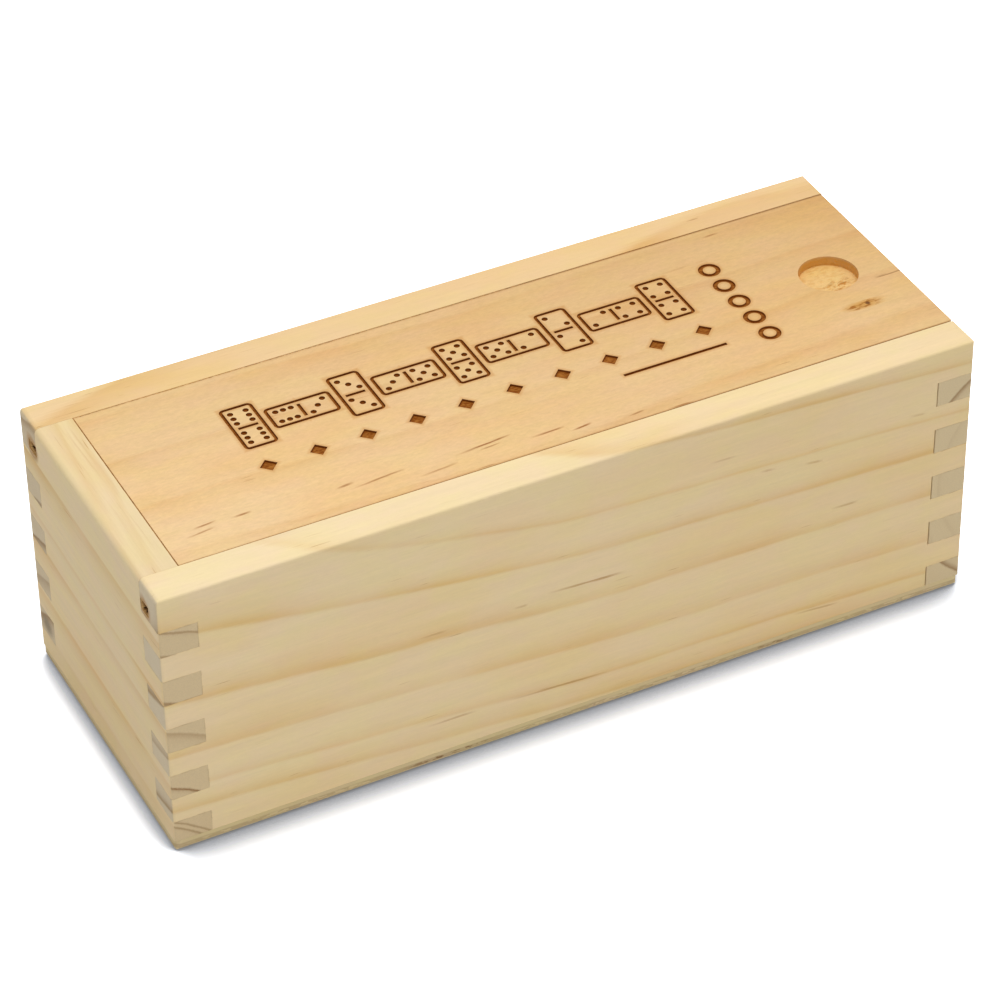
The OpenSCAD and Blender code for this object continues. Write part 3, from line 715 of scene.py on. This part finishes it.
fuzzPiece = makeLidFuzz(lidEdge)
thick = fuzzPiece.modifiers.new("thick", "SOLIDIFY")
thick.thickness, thick.offset = 0.1 * mm, -1.0
material, put = newMaterial("sawnPineFuzz")
place = put("VectorMath", {0: put("TexCoord")["Object"], "Scale": 1 / mm}, "SCALE")[0]
fuzzNoise = put("TexNoise", {"Vector": place, "Scale": 0.9, "Detail": 3.0})[0]
fuzzNoise = put("MapRange", (fuzzNoise, 0.35, 0.65))[0]
fuzzColour = put("Mix", {0: fuzzNoise, 6: lidEdge["fuzz"], 7: lidEdge["fuzzDark"]}, data_type="RGBA")[2]
fuzzHeight = put("SeparateXYZ", (place,))[2]
flushEnds = (lidEdge["face"] - 0.12, lidEdge["face"] - 0.05, 0.0, 0.85)
flush = put("MapRange", (fuzzHeight, *flushEnds))[0]
fuzzColour = put("Mix", {0: flush, 6: fuzzColour, 7: lidBoard["pale"]}, data_type="RGBA")[2]
fuzzShader = put("BsdfPrincipled", {
    "Base Color": fuzzColour, "Roughness": 0.8, "Specular IOR Level": 0.2})[0]
put("OutputMaterial", (fuzzShader,))
fuzzPiece.data.materials.append(material)
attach(fuzzPiece, "lid")
print("lid edges: sawn fibres in the gap")


recessFloor = {
    "radiusMm": 5.45, "seatMm": 0.04, "seed": 4, "around": 144, "out": 40,
    "faint": 30, "faintMm": 0.09, "flakes": 16, "flakeMm": 0.5, "flakePlace": (0.9, -2.2),
    "flakeSpread": (2.6, 1.3), "wood": "#EABF77", "pale": "#F2CE8C", "dark": "#D0913A",
    "darkRange": (0.51, 0.39, 0.0, 0.9), "aged": (0.97, 0.95, 0.9, 1.0),
}


def makeRecessFloor(settings):
    # a disc on a polar grid; height = a thin seat plus the sum of many faint ridges and a few tall flakes,
    # each a bell across the grain times a longer bell along it, and all of it falls to nothing at the rim
    random = np.random.default_rng(settings["seed"])
    r = np.linspace(0, 1, settings["out"])[1:, None] * settings["radiusMm"]
    a = np.linspace(0, 2 * np.pi, settings["around"], endpoint=False)[None, :]
    x, y = r * np.cos(a), r * np.sin(a)
    x, y = np.append(x.ravel(), 0.0), np.append(y.ravel(), 0.0)
    height = np.full(len(x), settings["seatMm"])
    for count, tallMm, middle, spread in (
            (settings["faint"], settings["faintMm"], (0.0, 0.0), (4.6, 4.6)),
            (settings["flakes"], settings["flakeMm"], settings["flakePlace"], settings["flakeSpread"])):
        cx, cy = (random.uniform(-1, 1, count) * s + m for m, s in zip(middle, spread))
        lengthOf, widthOf = random.uniform(0.45, 1.3, count), random.uniform(0.14, 0.34, count)
        tall = tallMm * random.uniform(0.4, 1.0, count)
        bells = tall * np.exp(-((x[:, None] - cx) / lengthOf) ** 2 - ((y[:, None] - cy) / widthOf) ** 2)
        height = height + np.clip(bells.sum(1), 0, 1.3 * tallMm)
    rim = np.clip((settings["radiusMm"] - np.hypot(x, y)) / 0.35, 0, 1)
    z = box["recessFloor"] + 0.01 + (height - 0.01) * rim
    points = np.stack([x + box["recessX"], y, z], 1) * mm
    n, k = settings["around"], settings["out"] - 1
    i, j = np.meshgrid(np.arange(k - 1), np.arange(n), indexing="ij")
    near, far, onward = i * n, (i + 1) * n, (j + 1) % n
    quads = np.stack([near + j, far + j, far + onward, near + onward], -1).reshape(-1, 4)
    centre = len(points) - 1
    fan = [(centre, q, (q + 1) % n) for q in range(n)]
    return meshPiece("recess_floor", points, quads.tolist() + fan)


recessPiece = makeRecessFloor(recessFloor)
tornBoard = dict(lidBoard, name="tornPineRecess", streaks=[], wobbleMm=1.2)
# the recess floor keeps the lid's painted shade along its length, with a tint of its own
tornBoard.update(pale=recessFloor["pale"], dark=recessFloor["wood"], aged=recessFloor["aged"])
material, put = newMaterial(tornBoard["name"])
wood = growWood(put, tornBoard)
tornPlace = put("VectorMath", (wood["place"], (0.7, 1.7, 4.0)), "MULTIPLY")[0]
tornNoise = put("TexNoise", {"Vector": tornPlace, "Scale": 1.0, "Detail": 3.0, "Roughness": 0.6})[0]
flakeMiddle = (box["recessX"] + recessFloor["flakePlace"][0], recessFloor["flakePlace"][1], 54.5)
flakeAway = put("VectorMath", (wood["place"], flakeMiddle), "SUBTRACT")[0]
flakeAway = put("VectorMath", (flakeAway, (0.4, 0.8, 0.0)), "MULTIPLY")[0]
flakeAway = put("VectorMath", (flakeAway,), "LENGTH")[1]
flakeZone = put("MapRange", (flakeAway, 1.3, 0.6, 0.35, 1.0))[0]
tornDark = put("MapRange", (tornNoise, *recessFloor["darkRange"]))[0]
tornDark = put("Math", (tornDark, flakeZone), "MULTIPLY")[0]
stainWood(put, wood, ((tornDark, recessFloor["dark"]),))
wood["height"] = tornNoise
finishWood(put, wood, bumpMm=0.2)
recessPiece.data.materials.append(material)
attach(recessPiece, "lid")
print("recess: torn floor")


# wood torn out round the two mouths of the groove, where the cutter left the closed end
grooveMouths = {
    "placeX": -79.82, "intoSlotMm": 0.5, "thickMm": 0.12, "seed": 11, "around": 160, "across": 7,
    "spikes": 22, "shortest": 0.30, "longest": 0.85, "rim": "#D2AE72", "tip": "#94602A",
}


def makeGrooveMouths(settings):
    # for each mouth a ring on a grid of angle by depth: its outer edge follows the slot's rectangle, its
    # inner edge is pulled in by pointed fibres, each a triangle over the angle, and it leans into the slot
    random = np.random.default_rng(settings["seed"])
    a = np.linspace(0, 2 * np.pi, settings["around"], endpoint=False)[:, None]
    t = np.linspace(0, 1, settings["across"])[None, :]
    halfY, halfZ = box["grooveHalfDepth"] + 0.04, box["grooveHalfHeight"] + 0.04
    reachY, reachZ = halfY / np.maximum(np.abs(np.cos(a)), 1e-6), halfZ / np.maximum(np.abs(np.sin(a)), 1e-6)
    reach = np.minimum(reachY, reachZ)
    points, faces = [], []
    for side in (-1, 1):
        at = random.uniform(0, 2 * np.pi, settings["spikes"])
        wide = random.uniform(0.10, 0.30, settings["spikes"])
        deep = random.uniform(settings["shortest"], settings["longest"], settings["spikes"])
        apart = np.abs((a - at + np.pi) % (2 * np.pi) - np.pi)
        pulled = (deep * np.clip(1 - apart / wide, 0, 1)).max(1, keepdims=True) + 0.04
        share = 1 - t * pulled
        y = side * box["grooveAcross"] + reach * share * np.cos(a)
        z = box["grooveMiddle"] + reach * share * np.sin(a)
        x = settings["placeX"] + settings["intoSlotMm"] * t ** 1.5 * (0.4 + pulled)
        start = sum(len(p) for p in points)
        points.append(np.stack([x, y, z], -1).reshape(-1, 3) * mm)
        n, k = settings["around"], settings["across"]
        i, j = np.meshgrid(np.arange(n), np.arange(k - 1), indexing="ij")
        here, ahead = i * k + j, (i + 1) % n * k + j
        faces.append(start + np.stack([here, here + 1, ahead + 1, ahead], -1).reshape(-1, 4))
    return meshPiece("groove_mouths", np.concatenate(points), np.concatenate(faces).tolist())


mouthPiece = makeGrooveMouths(grooveMouths)
thick = mouthPiece.modifiers.new("thick", "SOLIDIFY")
thick.thickness, thick.offset = grooveMouths["thickMm"] * mm, -1.0
material, put = newMaterial("frayedPineFibre")
place = put("VectorMath", {0: put("TexCoord")["Object"], "Scale": 1 / mm}, "SCALE")[0]
folded = put("VectorMath", (place,), "ABSOLUTE")[0]
mouthMiddle = (0.0, box["grooveAcross"], box["grooveMiddle"])
mouthPerMm = (0.0, 1 / box["grooveHalfDepth"], 1 / box["grooveHalfHeight"])
fromMouth = put("VectorMath", (folded, mouthMiddle), "SUBTRACT")[0]
fromMouth = put("VectorMath", (fromMouth, mouthPerMm), "MULTIPLY")[0]
fromMouth = put("VectorMath", (fromMouth,), "LENGTH")[1]
frayPlace = put("VectorMath", (place, (1.0, 2.2, 2.2)), "MULTIPLY")[0]
fray = put("TexNoise", {"Vector": frayPlace, "Scale": 1.0, "Detail": 2.0})[0]
fromMouth = put("Math", (fray, 0.8, fromMouth), "MULTIPLY_ADD")[0]
toTip = put("MapRange", (fromMouth, 1.5, 1.0))[0]
fibreColour = put("Mix", {0: toTip, 6: grooveMouths["rim"], 7: grooveMouths["tip"]}, data_type="RGBA")[2]
fibreShader = put("BsdfPrincipled", {
    "Base Color": fibreColour, "Roughness": 0.75, "Specular IOR Level": 0.25})[0]
put("OutputMaterial", (fibreShader,))
mouthPiece.data.materials.append(material)
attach(mouthPiece, "box")
print("groove mouths: torn fibres")


# the floor's seen colour and painted glow, the painted shadow's width and tint, where the paper is painted
# brighter, then the sky and the key light
studio = {
    "floorHalf": 3.0, "floorGrey": 0.80, "floorSeen": (1.62, 1.70, 1.82), "paintedFloorGlow": (0.11, 0.115, 0.13),
    "shadowMm": 11.0, "shadowTint": (0.20, 0.205, 0.22),
    "paintedBrighterBeside": [(-300, 1.9), (-82.5, 1.9), (-78, 1.0), (77, 1.0), (82, 1.4), (300, 1.4)],
    "worldStrength": 0.60, "skyOverhead": 0.55, "skyRight": 0.12,
    "keyPlace": (0.08, -0.04, 1.25), "keySize": 1.0, "keyWatts": 6.6,
}
half = studio["floorHalf"]
floorCorners = [(-half, -half, 0), (half, -half, 0), (half, half, 0), (-half, half, 0)]
floor = meshPiece("floor", floorCorners, [(0, 1, 2, 3)], smooth=False)
material, put = newMaterial("whitePaper")
rays = put("LightPath")
mirrored = put("Math", (rays["Is Glossy Ray"], rays["Is Transmission Ray"]), "MAXIMUM")[0]
# painted shadow: the paper seen by the camera is darkened by ambient occlusion in a soft band a few
# millimetres wide at the foot of the box, tinted blue
clearOf = put("AmbientOcclusion", {"Distance": studio["shadowMm"] * mm}, samples=16)["AO"]
clearOf = put("MapRange", (clearOf, 0.505, 0.9))[0]
shade = tuple(w * c for w, c in zip(studio["floorSeen"], studio["shadowTint"])) + (1.0,)
lit = put("Mix", {0: clearOf, 6: shade, 7: studio["floorSeen"] + (1.0,)}, data_type="RGBA")[2]
# painted light: beside the two ends the paper seen by the camera is made brighter, so the painted shadow is
# narrower there
floorX = put("SeparateXYZ", (put("TexCoord")["Object"],))[0]
floorX = put("Math", (floorX, 1 / mm), "MULTIPLY")[0]
paintedBeside = put("FloatCurve", {"Value": floorX}, points=studio["paintedBrighterBeside"], label="straight")[0]
lit = put("VectorMath", {0: lit, "Scale": paintedBeside}, "SCALE")[0]
white, grey = (1.0,) * 4, (studio["floorGrey"],) * 3 + (1.0,)
paper = put("Mix", {0: mirrored, 6: grey, 7: white}, data_type="RGBA")[2]
paper = put("Mix", {0: rays["Is Camera Ray"], 6: paper, 7: lit}, data_type="RGBA")[2]
paper = put("BsdfDiffuse", (paper,))[0]
# painted glow: the paper emits a little light for the camera, lifting the darkest part of the painted shadow
paintedGlow = put("Emission", {"Color": studio["paintedFloorGlow"] + (1.0,), "Strength": rays["Is Camera Ray"]})[0]
put("OutputMaterial", (put("AddShader", (paper, paintedGlow))[0],))
floor.data.materials.append(material)

world = bpy.data.worlds.new("studio")
put = startNodes(world)
rays = put("LightPath")
seen = put("Math", (rays["Is Camera Ray"], rays["Is Glossy Ray"]), "MAXIMUM")[0]
seen = put("Math", (seen, rays["Is Transmission Ray"]), "MAXIMUM")[0]
# a big soft light: brighter overhead than at the horizon, and a little brighter on the right
skyPlace = put("SeparateXYZ", (put("TexCoord")["Generated"],))
skyBase = 1 - studio["skyOverhead"] * 2 / 3
level = put("Math", (skyPlace[2], studio["skyOverhead"], skyBase), "MULTIPLY_ADD")[0]
level = put("Math", (skyPlace[0], studio["skyRight"], level), "MULTIPLY_ADD")[0]
level = put("Math", (level, studio["worldStrength"]), "MULTIPLY")[0]
level = put("Mix", {0: seen, 2: level, 3: 1.0})[0]
sky = put("Background", {"Color": white, "Strength": level})[0]
put("OutputWorld", (sky,))
bpy.context.scene.world = world

keyData = bpy.data.lights.new("key", "AREA")
keyData.shape, keyData.size, keyData.energy = "DISK", studio["keySize"], studio["keyWatts"]
key = bpy.data.objects.new("key", keyData)
key.location = studio["keyPlace"]
key.rotation_mode = "QUATERNION"
key.rotation_quaternion = (Vector(studio["keyPlace"]) - Vector((0, 0, 0.03))).to_track_quat("Z", "Y")
bpy.context.scene.collection.objects.link(key)
print("studio: floor, sky and key light")
